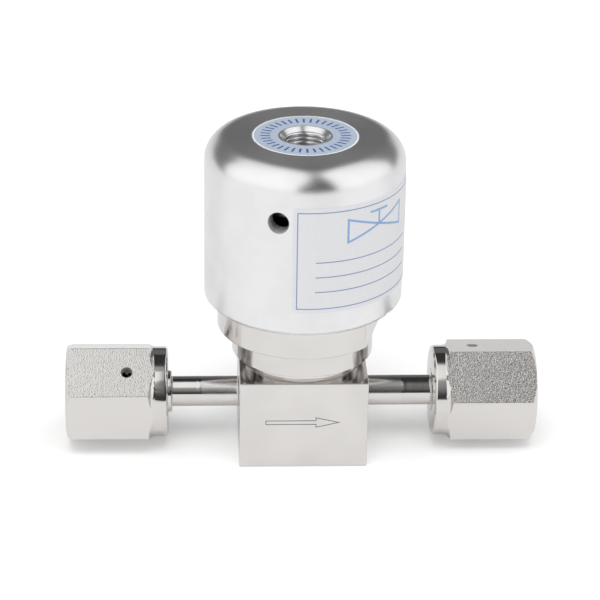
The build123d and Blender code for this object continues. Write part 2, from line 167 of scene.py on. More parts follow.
class ValveColours(bpy.types.PropertyGroup):
    """Colours of the finishes."""
    steel: colour("Steel", "Body block and rings", 0.72, 0.70, 0.685)
    bright_steel: colour("Bright steel", "Polished tubes and turned faces", 0.70, 0.68, 0.66)
    grained_steel: colour("Grained steel", "Flats of the nuts", 0.72, 0.70, 0.68)
    aluminium: colour("Aluminium", "Actuator cap", 0.83, 0.83, 0.84)
    side_film: colour("Side label", "Film on the side of the cap", 0.76, 0.765, 0.785)
    port_film: colour("Port label", "Plate round the air port", 0.44, 0.51, 0.62)
    label_ink: colour("Label ink", "Lines on the side label", 0.22, 0.30, 0.52)
    label_mark: colour("Label mark", "Valve symbol on the side label", 0.27, 0.42, 0.70)
    dial_ink: colour("Dial ink", "Marks round the air port", 0.05, 0.11, 0.30)
    etching: colour("Etching", "Flow arrow on the block", 0.20, 0.18, 0.17)
    floor: colour("Floor", "Floor under the valve", 0.80, 0.80, 0.80)


class ValveStudio(bpy.types.PropertyGroup):
    """Light and camera of the stage."""
    key_power: FloatProperty(name="Key power", description="Strength of the soft lamp overhead", default=1.1)
    key_spread: turn("Key spread", "Breadth of the soft lamp", 36)
    key_tilt: turn("Key tilt", "How far in front of the valve the lamp stands", 23)
    view_azimuth: turn("View azimuth", "Direction of the camera from the front", -2.85)
    view_elevation: turn("View elevation", "Height of the camera above level", 25.48)
    view_roll: turn("View roll", "Roll of the camera", 0.975)
    view_distance: length("View distance", "Distance of the camera from its target", 513.9)
    view_left: length("View left", "How far left of the middle the camera aims", 0.56)
    view_height: length("View height", "Height that the camera aims at", 32.05)
    view_lens: FloatProperty(name="View lens", description="Focal length in millimetres", default=148.74)


# Modelling by hand: each helper is one step at the bench


def clear_selection():
    bpy.ops.object.select_all(action="DESELECT")


def open_mesh(piece):
    """Go into edit mode on one piece."""
    clear_selection()
    piece.select_set(True)
    bpy.context.view_layer.objects.active = piece
    bpy.ops.object.mode_set(mode="EDIT")
    bpy.ops.mesh.select_mode(type="VERT")


def close_mesh():
    bpy.ops.object.mode_set(mode="OBJECT")


def pick(piece, test):
    """Select the vertices of the open mesh whose place passes a test."""
    mesh = bmesh.from_edit_mesh(piece.data)
    for vertex in mesh.verts:
        vertex.select = test(vertex.co)
    mesh.select_flush_mode()
    bmesh.update_edit_mesh(piece.data)


def new_piece(name, primitive, **settings):
    """Add one primitive and name it."""
    clear_selection()
    primitive(**settings)
    piece = bpy.context.object
    piece.name = piece.data.name = name
    return piece


def place(piece, matrix):
    """Move a piece and put its place into its mesh."""
    clear_selection()
    piece.select_set(True)
    bpy.context.view_layer.objects.active = piece
    piece.matrix_world = matrix @ piece.matrix_world
    bpy.ops.object.transform_apply(location=True, rotation=True, scale=True)
    return piece


def draw_chain(name, corners):
    """Closed chain of edges through the corners, left open in edit mode."""
    piece = new_piece(name, bpy.ops.mesh.primitive_plane_add, size=MM)
    open_mesh(piece)
    bpy.ops.mesh.select_all(action="SELECT")
    bpy.ops.mesh.merge(type="CENTER")
    bpy.ops.transform.translate(value=corners[0])
    for start, end in zip(corners, corners[1:] + corners[:1]):
        bpy.ops.mesh.extrude_vertices_move(TRANSFORM_OT_translate={"value": end - start})
    bpy.ops.mesh.select_all(action="SELECT")
    bpy.ops.mesh.remove_doubles(threshold=MERGE)
    return piece


def lathe(name, outline, axis, steps=96, thread=None):
    """Turn a closed outline of (distance along, radius, rounding) in millimetres round an axis."""
    corners = [axis.origin + MM * (along * axis.along + radius * axis.across) for along, radius, _ in outline]
    piece = draw_chain(name, corners)
    for rounding in sorted({corner[2] for corner in outline if corner[2]}):
        rounded = [place for place, corner in zip(corners, outline) if corner[2] == rounding]
        pick(piece, lambda place: any((place - corner).length < SAME_PLACE for corner in rounded))
        bpy.ops.mesh.bevel(offset=rounding * MM, segments=max(3, round(3 * rounding)), affect="VERTICES")
    if thread:
        wall = [axis.origin + MM * (z * axis.along + thread.radius * axis.across) for z in (thread.low, thread.high)]
        pick(piece, lambda place: any((place - end).length < SAME_PLACE for end in wall))
        bpy.ops.mesh.subdivide(number_cuts=round(10 * (thread.high - thread.low) / thread.pitch) - 1)
    bpy.ops.mesh.select_all(action="SELECT")
    bpy.ops.mesh.spin(steps=steps, angle=2 * pi, center=axis.origin, axis=axis.along)
    bpy.ops.mesh.select_all(action="SELECT")
    bpy.ops.mesh.remove_doubles(threshold=MERGE)
    bpy.ops.mesh.normals_make_consistent(inside=False)
    close_mesh()
    return piece


def cut_thread(piece, axis, thread, direction):
    """Raise or sink a right-hand thread on a turned wall, with a vertex group and a Displace modifier."""
    group = piece.vertex_groups.new(name="thread")
    side = axis.along.cross(axis.across)
    for vertex in piece.data.vertices:
        arm = (vertex.co - axis.origin) / MM
        along = arm.dot(axis.along)
        arm -= along * axis.along
        if abs(arm.length - thread.radius) > 0.01 or not thread.low < along < thread.high:
            continue
        turned = atan2(arm.dot(side), arm.dot(axis.across)) / (2 * pi)
        phase = (along / thread.pitch - turned) % 1
        flank = min(1, max(0, 1.3 * (1 - abs(2 * phase - 1)) - 0.15))
        runout = min(1, (along - thread.low) / thread.pitch, 2 * (thread.high - along) / thread.pitch)
        group.add([vertex.index], flank * runout, "REPLACE")
    modifier = piece.modifiers.new("thread", "DISPLACE")
    modifier.vertex_group = group.name
    modifier.mid_level = 0
    modifier.strength = direction * thread.depth * MM
    apply_modifier(piece, modifier)
    piece.vertex_groups.clear()


def apply_modifier(piece, modifier):
    clear_selection()
    piece.select_set(True)
    bpy.context.view_layer.objects.active = piece
    bpy.ops.object.modifier_apply(modifier=modifier.name)


def combine(piece, tool, operation="DIFFERENCE"):
    """Join a second solid to a piece, cut it out or keep what both share."""
    modifier = piece.modifiers.new("combine", "BOOLEAN")
    modifier.object = tool
    modifier.operation = operation
    modifier.solver = "EXACT"
    modifier.material_mode = "TRANSFER"
    apply_modifier(piece, modifier)
    bpy.data.objects.remove(tool)
    return piece


def box(name, size, matrix):
    """Block of a given size in millimetres, centred and then placed."""
    piece = new_piece(name, bpy.ops.mesh.primitive_cube_add, size=MM)
    piece.scale = size
    return place(piece, matrix)


def finish_piece(piece, finish=None, body="housing", replaces=()):
    """Shade, finish and hang a piece on its body."""
    clear_selection()
    piece.select_set(True)
    bpy.context.view_layer.objects.active = piece
    bpy.ops.object.shade_smooth_by_angle(angle=radians(28))
    modifier = piece.modifiers.new("normals", "WEIGHTED_NORMAL")
    modifier.keep_sharp = True
    apply_modifier(piece, modifier)
    if finish:
        piece.data.materials.clear()
        piece.data.materials.append(finish)
    if replaces:
        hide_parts(*replaces)
    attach(piece, body)
    return piece


# Shader maths


class Signal:
    """A socket of a node tree. Arithmetic on it adds Math nodes."""

    def __init__(self, tree, socket=None):
        self.tree, self.socket = tree, socket

    def node(self, kind, settings=(), inputs=(), output=0):
        """Add a node, set it up, feed it values or signals and return one output."""
        made = self.tree.nodes.new(kind)
        for name, value in dict(settings).items():
            setattr(made, name, value)
        for name, value in dict(inputs).items():
            if isinstance(value, Signal):
                self.tree.links.new(value.socket, made.inputs[name])
            else:
                made.inputs[name].default_value = value
        return Signal(self.tree, made.outputs[output]) if made.outputs else None

    def math(self, operation, *values):
        return self.node("ShaderNodeMath", {"operation": operation}, enumerate(values))

    def __add__(self, other):
        return self.math("ADD", self, other)

    def __mul__(self, other):
        return self.math("MULTIPLY", self, other)

    def __sub__(self, other):
        return self.math("SUBTRACT", self, other)

    def __rsub__(self, other):
        return self.math("SUBTRACT", other, self)

    __radd__, __rmul__ = __add__, __mul__

    def step(self, low, high):
        """Smooth step of this value from 0 at low to 1 at high."""
        settings = {"interpolation_type": "SMOOTHSTEP"}
        return self.node("ShaderNodeMapRange", settings, {0: self, 1: low, 2: high, 3: 0.0, 4: 1.0})

    def split(self):
        made = self.node("ShaderNodeSeparateXYZ", (), {0: self}).socket.node
        return [Signal(self.tree, socket) for socket in made.outputs]

    def join(self, x, y, z):
        return self.node("ShaderNodeCombineXYZ", (), {0: x, 1: y, 2: z})

    def noise(self, place, scale, detail=2.0, roughness=0.5):
        return self.node("ShaderNodeTexNoise", (), {
            "Vector": place, "Scale": scale, "Detail": detail, "Roughness": roughness})

    def mix(self, share, first, second):
        """Blend two colours."""
        return self.node("ShaderNodeMix", {"data_type": "RGBA"}, {0: share, 6: first, 7: second}, output=2)

    def bump(self, height, distance):
        return self.node("ShaderNodeBump", (), {"Strength": 1.0, "Distance": distance, "Height": height})


def rgba(values, gain=1.0):
    return (*(min(1.0, gain * value) for value in values), 1.0)


def new_finish(name, base, roughness, metallic, pattern, constants=()):
    """Material with one shader, whose pattern gives the sockets that change over the surface."""
    finish = bpy.data.materials.new(name)
    finish.use_nodes = True
    tree = finish.node_tree
    tree.nodes.clear()
    graph = Signal(tree)
    place = graph.node("ShaderNodeTexCoord", output=3)
    inputs = {"Base Color": rgba(base), "Roughness": roughness, "Metallic": metallic, **dict(constants)}
    inputs.update(pattern(graph, place))
    shader = graph.node("ShaderNodeBsdfPrincipled", (), inputs)
    graph.node("ShaderNodeOutputMaterial", (), {"Surface": shader})
    return finish


def turned_pattern(base, axis, lines, depth, roughness, spread):
    """Fine circular tool marks round an axis, with slow changes of tone and gloss."""
    def pattern(graph, place):
        x, y, z = place.split()
        if axis == "Z":
            along, first, second = z, x, y
        else:
            along, first, second = x, y, z - TUBE_Z
        radius = graph.math("SQRT", first * first + second * second)
        around = graph.math("ARCTAN2", first, second)
        rings = graph.noise(graph.join(along * lines, radius * lines, around * 0.6), 1.0, 3.0)
        blotch = graph.noise(place, 160.0, 2.0)
        return {
            "Base Color": graph.mix(blotch.step(0.35, 0.7), rgba(base), rgba(base, 0.96)),
            "Roughness": roughness + (rings - 0.5) * spread + (blotch - 0.5) * spread,
            "Normal": graph.bump(rings, depth),
        }
    return pattern


def ground_pattern(base, top, depth, roughness):
    """Fine ground lines across the block, a smoother top, and slow changes of tone."""
    def pattern(graph, place):
        x, y, z = place.split()
        lines = graph.noise(graph.join(x * 350.0, y * 350.0, z * 9000.0), 1.0, 3.0)
        blotch = graph.noise(place, 130.0, 3.0)
        sides = 1 - z.step(top - 0.15 * MM, top)
        return {
            "Base Color": graph.mix(blotch.step(0.35, 0.7), rgba(base), rgba(base, 0.95)),
            "Roughness": 0.08 + blotch * 0.03 + sides * (lines * 0.06 + roughness - 0.1),
            "Normal": graph.bump(lines * sides, depth),
        }
    return pattern


def polished_pattern(base, depth):
    """Bright polish with a very slight waviness."""
    def pattern(graph, place):
        waves = graph.noise(place, 420.0, 2.0)
        smear = graph.noise(place, 1500.0, 3.0)
        return {
            "Base Color": graph.mix(waves.step(0.3, 0.8), rgba(base), rgba(base, 0.97)),
            "Roughness": 0.05 + smear * 0.05,
            "Normal": graph.bump(waves + smear * 0.08, depth),
        }
    return pattern


def grained_pattern(base, corner, reach):
    """Bar skin that is smooth but for one flat, whose fine grain catches the light."""
    def pattern(graph, place):
        _, y, z = place.split()
        ahead = corner + pi / 6
        grainy = ((z - TUBE_Z) * cos(ahead) - y * sin(ahead)).step(reach - 0.3 * MM, reach - 0.1 * MM)
        facets = graph.noise(place, 3600.0, 1.0, 0.5)
        grain = graph.noise(place, 5200.0, 2.0, 0.6)
        pits = facets.step(0.4, 0.3) * grainy * 0.3
        return {
            "Base Color": graph.mix(pits, rgba(base), rgba(base, 0.4)),
            "Roughness": 0.16 + grain * grainy * 0.1,
            "Normal": graph.bump((facets + grain * 0.15) * grainy + grain * 0.03, 0.055 * MM),
        }
    return pattern


def speckled_pattern(base, scale, depth, contrast):
    """Even matt surface with a faint speckle, for film, plastic, rubber and foil."""
    def pattern(graph, place):
        speckle = graph.noise(place, scale, 3.0)
        return {
            "Base Color": graph.mix(speckle.step(0.3, 0.7), rgba(base), rgba(base, contrast)),
            "Normal": graph.bump(speckle, depth),
        }
    return pattern


def port_plate_pattern(base, rim):
    """Printed plate with a pale border line."""
    def pattern(graph, place):
        x, y, _ = place.split()
        radius = graph.math("SQRT", x * x + y * y)
        border = radius.step(rim - 0.05 * MM, rim)
        speckle = graph.noise(place, 3000.0, 2.0)
        tone = graph.mix(speckle.step(0.3, 0.7), rgba(base), rgba(base, 0.94))
        return {
            "Base Color": graph.mix(border, tone, (0.85, 0.87, 0.9, 1)),
            "Normal": graph.bump(speckle, 0.002 * MM),
        }
    return pattern


def make_finishes(sizes, colours):
    """All the finishes of the valve, by name."""
    steel, bright, grained, aluminium = colours.steel, colours.bright_steel, colours.grained_steel, colours.aluminium
    rows = {
        "satin_aluminium": (aluminium, 0.3, 1, turned_pattern(aluminium, "Z", 9000.0, 0.0006 * MM, 0.3, 0.06),
                            {"Anisotropic": 0.6, "Anisotropic Rotation": 0.25}),
        "turned_steel": (steel, 0.12, 1, turned_pattern(steel, "Z", 7000.0, 0.0003 * MM, 0.14, 0.04),
                         {"Anisotropic": 0.5, "Anisotropic Rotation": 0.25}),
        "ground_steel": (steel, 0.2, 1, ground_pattern(steel, sizes.block_top, 0.0006 * MM, 0.16)),
        "bright_steel": (bright, 0.06, 1, polished_pattern(bright, 0.006 * MM)),
        "turned_nut_steel": (bright, 0.1, 1, turned_pattern(bright, "X", 7000.0, 0.0003 * MM, 0.09, 0.03)),
        "inlet_grain": (grained, 0.2, 1, grained_pattern(grained, sizes.inlet_corner, sizes.nut_flats / 2)),
        "outlet_grain": (grained, 0.2, 1, grained_pattern(grained, sizes.outlet_corner, sizes.nut_flats / 2)),
        "port_film": (colours.port_film, 0.4, 0, port_plate_pattern(colours.port_film, 10.45 * MM)),
    }
    speckled = {
        "side_film": (colours.side_film, 0.35, 0, 1200.0, 0.001, 0.98),
        "label_ink": (colours.label_ink, 0.45, 0, 4000.0, 0.002, 0.9),
        "label_mark": (colours.label_mark, 0.4, 0, 1200.0, 0.001, 0.95),
        "dial_ink": (colours.dial_ink, 0.45, 0, 4000.0, 0.002, 0.9),
        "etching": (colours.etching, 0.6, 0.4, 6000.0, 0.004, 0.7),
        "drilled_steel": ((0.55, 0.53, 0.51), 0.35, 0.3, 3000.0, 0.01, 0.9),
        # Vent hole threads: aluminium darkened to 0.4, painted shade inside the hole
        "tapped_aluminium_painted_shade": ((0.4, 0.4, 0.41), 0.5, 0.6, 3000.0, 0.01, 0.9),
        "spring_wire": ((0.35, 0.35, 0.36), 0.3, 1, 2500.0, 0.004, 0.9),
        "seal_rubber": ((0.02, 0.02, 0.02), 0.5, 0, 2500.0, 0.004, 0.9),
        "seat_plastic": ((0.85, 0.85, 0.82), 0.4, 0, 2000.0, 0.002, 0.9),
        "guide_plastic": ((0.75, 0.73, 0.64), 0.45, 0, 2000.0, 0.002, 0.9),
        "foil": ((0.62, 0.62, 0.58), 0.15, 1, 900.0, 0.001, 0.9),
    }
    for name, (base, roughness, metallic, scale, depth, contrast) in speckled.items():
        rows[name] = (base, roughness, metallic, speckled_pattern(base, scale, depth * MM, contrast))
    return {name: new_finish(name, *row) for name, row in rows.items()}


FINISHES = {}
INNER_FINISHES = {
    "seat_insert": "seat_plastic",
    "diaphragm_lower": "foil",
    "diaphragm_middle": "foil",
    "diaphragm_upper": "foil",
    "stem_button": "turned_steel",
    "bonnet": "turned_steel",
    "base_rod_seal": "seal_rubber",
    "base_cap_seal": "seal_rubber",
    "upper_rod_seal": "seal_rubber",
    "piston_seal": "seal_rubber",
    "piston": "satin_aluminium",
    "piston_guide_ring": "guide_plastic",
}


class VALVE_OT_finishes(bpy.types.Operator):
    """Make the finishes and give the inner pieces theirs"""
    bl_idname = "valve.finishes"
    bl_label = "Finishes"

    def execute(self, context):
        FINISHES.update(make_finishes(context.scene.valve_sizes, context.scene.valve_colours))
        for node, finish in INNER_FINISHES.items():
            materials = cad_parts[node].data.materials
            materials.clear()
            materials.append(FINISHES[finish])
        return {"FINISHED"}


class VALVE_OT_block(bpy.types.Operator):
    """Model the body block with its neck, tube stubs and passages"""
    bl_idname = "valve.block"
    bl_label = "Body block"

    def execute(self, context):
        sizes = context.scene.valve_sizes
        top, half = sizes.block_top / MM, BLOCK_HALF / MM
        block = box("body_block", (2 * half, 2 * half, top), Matrix.Translation((0, 0, sizes.block_top / 2)))
        open_mesh(block)
        bpy.ops.mesh.select_all(action="SELECT")
        bpy.ops.mesh.bevel(offset=sizes.block_edge, segments=4, affect="EDGES")
        close_mesh()
        neck, neck_top = sizes.neck_radius / MM, BODY_HIGH.z / MM
        fillet = sizes.neck_root / MM
        combine(block, lathe("neck", (
            (top - 1, 0, 0), (top - 1, neck + fillet + 0.05, 0), (top - 0.01, neck + fillet + 0.05, 0),
            (top - 0.01, neck, fillet), (neck_top, neck, 0.3), (neck_top, 0, 0)), UPRIGHT, 160), "UNION")
        tube, stub = sizes.tube_radius / MM, sizes.stub_end / MM
        root = sizes.tube_root / MM
        bore = sizes.tube_bore / MM
        inlet_reach, outlet_reach = -2.0, 5.0
        for side, inner in ((-1, inlet_reach), (1, outlet_reach)):
            combine(block, lathe("stub", (
                (half - 1, 0, 0), (half - 1, tube + 2 * root, 0), (half - 0.05, tube + 2 * root, 0),
                (half - 0.05, tube, root), (stub, tube, 0), (stub, 0, 0)), tube_axis(side), 96), "UNION")
            combine(block, lathe("bore", (
                (inner, 0, 0), (inner, bore, 0), (stub + 1, bore, 0), (stub + 1, 0, 0)), tube_axis(side), 64))
        tube_z = TUBE_Z / MM
        ledge, seat, groove, mouth = 16.9, 15.5, 15.2, neck_top + 1
        combine(block, lathe("chamber", (
            (tube_z, 0, 0), (tube_z, 2.0, 0), (seat, 2.0, 0), (seat, 3.62, 0), (ledge, 3.62, 0), (ledge, 4.8, 0),
            (groove, 4.8, 0), (groove, 8.4, 0.3), (ledge, 8.4, 0), (ledge, 10.5, 0), (mouth, 10.5, 0),
            (mouth, 0, 0)), UPRIGHT, 128))
        port_axis = TurningAxis(Vector((6.6 * MM, 0, 0)), UPRIGHT.along, UPRIGHT.across)
        combine(block, lathe("port", ((tube_z, 0, 0), (tube_z, 1.6, 0), (16, 1.6, 0), (16, 0, 0)), port_axis, 48))
        for x in (-8.0, 8.0):
            axis = TurningAxis(Vector((x * MM, 0, 0)), UPRIGHT.along, UPRIGHT.across)
            thread = Thread(2.1, 0.45, 6.0, 0.8, 0.4)
            screw = lathe("screw", (
                (-1, 0, 0), (-1, 2.6, 0), (0, 2.55, 0), (0.45, 2.1, 0), (6.0, 2.1, 0), (6.0, 0, 0)), axis, 64, thread)
            cut_thread(screw, axis, thread, 1)
            combine(block, screw)
        finish_piece(block, FINISHES["ground_steel"], replaces=["valve_body"])
        return {"FINISHED"}


class VALVE_OT_arrow(bpy.types.Operator):
    """Model the flow arrow that is etched on the front of the block"""
    bl_idname = "valve.arrow"
    bl_label = "Flow arrow"

    def execute(self, context):
        tail, neck, tip, height = -7.9, 2.45, 7.6, 10.35
        shaft, head, stroke = 0.5, 1.2, 0.16
        front = -BLOCK_HALF / MM + 0.01
        outline = ((tail, -shaft), (neck, -shaft), (neck, -head), (tip, 0), (neck, head), (neck, shaft), (tail, shaft))
        corners = [MM * Vector((x, front, height + z)) for x, z in outline]
        arrow = draw_chain("flow_arrow", corners)
        bpy.ops.mesh.edge_face_add()
        bpy.ops.mesh.inset(thickness=stroke * MM, use_even_offset=True)
        bpy.ops.mesh.delete(type="FACE")
        bpy.ops.mesh.select_all(action="SELECT")
        bpy.ops.mesh.extrude_region_move(TRANSFORM_OT_translate={"value": (0, -0.025 * MM, 0)})
        bpy.ops.mesh.select_all(action="SELECT")
        bpy.ops.mesh.normals_make_consistent(inside=False)
        close_mesh()
        finish_piece(arrow, FINISHES["etching"])
        return {"FINISHED"}


class VALVE_OT_rings(bpy.types.Operator):
    """Model the ring nut on the block and the actuator base with its flat"""
    bl_idname = "valve.rings"
    bl_label = "Ring nut and actuator base"

    def execute(self, context):
        sizes = context.scene.valve_sizes
        low, high, outer = sizes.ring_low / MM, RING_HIGH.z / MM, RING_HIGH.x / MM
        ring = lathe("ring_nut", (
            (low, 11.95, 0), (low, outer, 0.08), (high, outer, 0.35), (high, 9.3, 0.1), (24.92, 9.3, 0),
            (24.92, 11.95, 0)), UPRIGHT, sizes.segments)
        finish_piece(ring, FINISHES["turned_steel"], replaces=["bonnet_nut"])

        low, high, flange, outer = BASE_LOW.z / MM, BASE_HIGH.z / MM, sizes.base_flange / MM, sizes.base_radius / MM
        base = lathe("actuator_collar", (
            (low, 8.95, 0), (low, outer, 0.3), (flange, outer, 0), (flange, 18.1, 0), (37.2, 18.1, 0),
            (37.2, 16.52, 0), (38.85, 16.52, 0), (38.85, 18.1, 0), (high, 18.1, 0), (high, 6.5, 0.1), (37.4, 6.5, 0),
            (37.4, 4.05, 0), (34.7, 4.05, 0), (34.7, 5.6, 0), (33.0, 5.6, 0), (33.0, 4.05, 0), (30.85, 4.05, 0),
            (30.85, 8.95, 0)), UPRIGHT, sizes.segments)
        reach = 2 * sizes.base_flat
        middle = bearing_axis(sizes.flat_bearing, 0).along * reach + Vector((0, 0, (flange + low - 1) * MM / 2))
        matrix = Matrix.Translation(middle) @ Matrix.Rotation(sizes.flat_bearing, 4, "Z")
        combine(base, box("flat", (2 * reach / MM, reach / MM, flange - low + 1), matrix))
        finish_piece(base, FINISHES["turned_steel"], replaces=["actuator_base"])
        return {"FINISHED"}


class VALVE_OT_cap(bpy.types.Operator):
    """Model the actuator cap with its air port, vent hole and spanner notches"""
    bl_idname = "valve.cap"
    bl_label = "Actuator cap"

    def execute(self, context):
        sizes = context.scene.valve_sizes
        low, high, outer = CAP_LOW.z / MM, CAP_HIGH.z / MM, CAP_HIGH.x / MM
        bevel, port, mouth = sizes.cap_bevel / MM, sizes.port_radius / MM, sizes.port_mouth / MM
        floor = sizes.port_floor / MM
        thread = Thread(port, floor, high - mouth + port, sizes.port_pitch / MM, 0.55)
        cap = lathe("cap_shell", (
            (low, 18.15, 0), (low, outer - bevel, 0.15), (low + bevel, outer, 0.3),
            (high, outer, sizes.cap_shoulder / MM), (high, 10.85, 0.05), (high - 0.25, 10.85, 0),
            (high - 0.25, 5.4, 0), (high, 5.4, 0.05), (high, mouth, 0.05), (high - mouth + port, port, 0),
            (floor, port, 0), (floor, 3.05, 0), (57.9, 3.05, 0), (57.9, 4.6, 0), (56.2, 4.6, 0), (56.2, 3.05, 0),
            (54.0, 3.05, 0), (54.0, 6.2, 0.3), (62.5, 6.2, 0), (62.5, 17.2, 1.0), (39.32, 17.2, 0),
            (39.32, 18.15, 0)), UPRIGHT, sizes.segments, thread)
        cut_thread(cap, UPRIGHT, thread, -1)
        axis = bearing_axis(sizes.vent_bearing, sizes.vent_height)
        vent, vent_mouth = sizes.vent_radius / MM, sizes.vent_mouth / MM
        thread = Thread(vent, 15.0, outer - vent_mouth + vent, 0.8, 0.35)
        tap = lathe("tap", (
            (15.0, 0, 0), (15.0, vent, 0), (outer - vent_mouth + vent, vent, 0), (outer, vent_mouth, 0),
            (outer + 1, vent_mouth, 0), (outer + 1, 0, 0)), axis, 96, thread)
        cut_thread(tap, axis, thread, 1)
        cap.data.materials.append(FINISHES["satin_aluminium"])
        # the vent's threads take the darkened aluminium, painted shade inside the hole
        tap.data.materials.append(FINISHES["tapped_aluminium_painted_shade"])
        combine(cap, tap)
        size = (sizes.notch_width / MM, 6.0, 2 * sizes.notch_height / MM)
        for bearing in (sizes.notch_bearing, sizes.notch_bearing + pi):
            rim = bearing_axis(bearing, CAP_LOW.z)
            matrix = Matrix.Translation(rim.origin + rim.along * CAP_HIGH.x) @ Matrix.Rotation(bearing, 4, "Z")
            combine(cap, box("notch", size, matrix))
        finish_piece(cap, replaces=["actuator_cap"])
        return {"FINISHED"}


class VALVE_OT_springs(bpy.types.Operator):
    """Model the two closing springs"""
    bl_idname = "valve.springs"
    bl_label = "Springs"

    def execute(self, context):
        sizes = context.scene.valve_sizes
        for name, mean, wire, coils in (
                ("outer_spring", sizes.outer_coil, sizes.outer_wire, 4),
                ("inner_spring", sizes.inner_coil, sizes.inner_wire, 5)):
            low, high = (corner.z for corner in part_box(name))
            spring = new_piece(f"{name}_wire", bpy.ops.mesh.primitive_circle_add, vertices=20, radius=wire)
            place(spring, Matrix.Translation((mean, 0, low)) @ Matrix.Rotation(pi / 2, 4, "X"))
            modifier = spring.modifiers.new("turns", "SCREW")
            modifier.screw_offset = (high - low) / coils
            modifier.iterations = coils
            modifier.steps = modifier.render_steps = 64
            apply_modifier(spring, modifier)
            open_mesh(spring)
            bpy.ops.mesh.select_all(action="SELECT")
            bpy.ops.mesh.fill_holes(sides=0)
            bpy.ops.mesh.normals_make_consistent(inside=False)
            close_mesh()
            inner, outer = (mean - 2 * wire) / MM, (mean + 2 * wire) / MM
            combine(spring, lathe("grinding", (
                (low / MM, inner, 0), (low / MM, outer, 0), (high / MM, outer, 0), (high / MM, inner, 0),
                (low / MM, inner, 0)), UPRIGHT, 96), "INTERSECT")
            finish_piece(spring, FINISHES["spring_wire"], replaces=[name])
            1 - sizes.piston_lift / (high - low)
            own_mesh(spring)
        return {"FINISHED"}


class VALVE_OT_port_label(bpy.types.Operator):
    """Model the round plate and its ring of index marks at the air port"""
    bl_idname = "valve.port_label"
    bl_label = "Port label"

    def execute(self, context):
        low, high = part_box("port_label")
        bottom, top, outer = low.z / MM, high.z / MM, high.x / MM
        plate = lathe("port_plate", (
            (bottom, 5.5, 0), (bottom, outer, 0), (top, outer, 0.06), (top, 5.5, 0.06)), UPRIGHT, 192)
        finish_piece(plate, FINISHES["port_film"], replaces=["port_label"])
        first = Matrix.Translation((0, 8.15 * MM, (top + 0.008) * MM))
        marks = box("port_marks", (0.42, 2.0, PRINT_DEPTH), first)
        open_mesh(marks)
        bpy.ops.mesh.select_all(action="SELECT")
        steps = context.scene.valve_sizes.index_marks - 1
        bpy.ops.mesh.spin(
            steps=steps, dupli=True, angle=2 * pi * steps / (steps + 1), center=(0, 0, 0), axis=(0, 0, 1))
        close_mesh()
        finish_piece(marks, FINISHES["dial_ink"])
        return {"FINISHED"}


def wrap_round_cap(piece, bearing):
    """Bend a flat upright sheet round the cap, and turn it to its bearing."""
    xs = [vertex.co.x for vertex in piece.data.vertices]
    modifier = piece.modifiers.new("wrap", "SIMPLE_DEFORM")
    modifier.deform_method = "BEND"
    modifier.deform_axis = "Z"
    modifier.angle = (max(xs) - min(xs)) / LABEL_RADIUS
    apply_modifier(piece, modifier)
    place(piece, Matrix.Rotation(bearing, 4, "Z") @ Matrix.Translation((0, -LABEL_RADIUS, 0)))


def slice_sheet(piece, width):
    """Cut an open flat sheet into upright strips, so that it can bend."""
    pieces = 64
    for index in range(1, pieces):
        bpy.ops.mesh.select_all(action="SELECT")
        bpy.ops.mesh.bisect(plane_co=(width * (index / pieces - 0.5), 0, 0), plane_no=(1, 0, 0))


def stroke(start, end, width):
    """Straight printed line between two places on the flat label, in millimetres."""
    run = Vector((end[0] - start[0], 0, end[1] - start[1]))
    middle = Vector(((start[0] + end[0]) / 2, -SHEET / MM - 0.008, (start[1] + end[1]) / 2))
    matrix = Matrix.Translation(middle * MM) @ Matrix.Rotation(-atan2(run.z, run.x), 4, "Y")
    return box("stroke", (run.length + width, PRINT_DEPTH, width), matrix)


def print_round_cap(name, lines, width, sizes, finish):
    """Printed straight lines on the side label, bent round the cap with it."""
    strokes = [stroke(start, end, width) for start, end in lines]
    clear_selection()
    for piece in strokes:
        piece.select_set(True)
    bpy.context.view_layer.objects.active = strokes[0]
    bpy.ops.object.join()
    prints = strokes[0]
    prints.name = prints.data.name = name
    open_mesh(prints)
    slice_sheet(prints, LABEL_RADIUS * sizes.label_arc)
    close_mesh()
    wrap_round_cap(prints, sizes.label_bearing)
    finish_piece(prints, finish)


